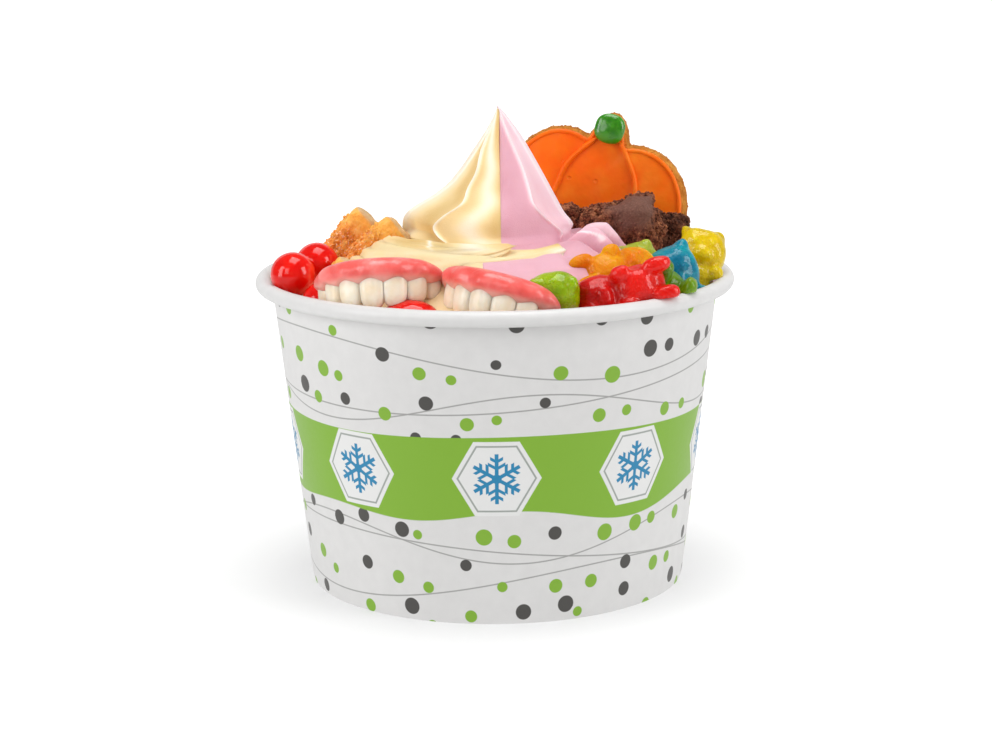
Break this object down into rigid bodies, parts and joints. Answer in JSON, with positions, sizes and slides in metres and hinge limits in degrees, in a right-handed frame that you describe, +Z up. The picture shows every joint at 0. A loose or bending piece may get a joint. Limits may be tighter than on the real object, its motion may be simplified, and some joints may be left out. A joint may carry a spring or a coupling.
{
  "type": "frozen yogurt cup",
  "caption": "Paper cup of yellow and pink frozen yogurt pulled up to a cone, topped with an iced biscuit, brownie, toffee, jelly bears, jelly teeth and red jelly balls.",
  "frame": {"origin": "the middle of the ring that the cup's foot stands on, at table height", "axes": "+Z up along the cup's axis; -Y is the front that the picture shows; +X is to the right from the front"},
  "size_m": [0.112, 0.112, 0.1128],
  "materials": {
    "cup_wall": null,
    "cup_bottom": "plain white coated paperboard",
    "yogurt_yellow": "soft satin pale yellow frozen yogurt",
    "yogurt_pink": "soft satin pale pink frozen yogurt",
    "biscuit": "baked sugar biscuit",
    "icing": "orange royal icing",
    "stalk": "glossy green piped gel",
    "brownie": "crumbly dark brownie",
    "toffee": "crunchy orange toffee with tan ends",
    "gum": "oiled pink jelly",
    "teeth": "cream white foam jelly",
    "jelly_ball": "clear red glossy jelly",
    "jelly_red": "clear red jelly",
    "jelly_orange": "sugared orange jelly",
    "jelly_lime": "clear lime green jelly",
    "jelly_pale": "clear pale green jelly",
    "jelly_green": "clear green jelly",
    "jelly_blue": "clear blue jelly",
    "jelly_yellow": "clear yellow jelly"
  },
  "bodies": {
    "root": {"cup_wall": "cup_wall", "cup_bottom": "cup_bottom", "yogurt_yellow": "yogurt_yellow", "yogurt_pink": "yogurt_pink", "biscuit": "biscuit", "biscuit_icing": "icing", "biscuit_stalk": "stalk", "brownie_front": "brownie", "brownie_right": "brownie", "brownie_left": "brownie", "toffee_left": "toffee", "toffee_right": "toffee", "toffee_crumb": "toffee", "gum_left": "gum", "gum_right": "gum", "teeth_left": "teeth", "teeth_right": "teeth", "ball_front": "jelly_ball", "ball_back": "jelly_ball", "ball_low": "jelly_ball", "ball_middle": "jelly_ball", "bear_red": "jelly_red", "bear_blue": "jelly_blue", "bear_yellow": "jelly_yellow", "bear_orange": "jelly_orange", "bear_lime": "jelly_lime", "bear_pale": "jelly_pale", "bear_green": "jelly_green"}
  },
  "joints": []
}
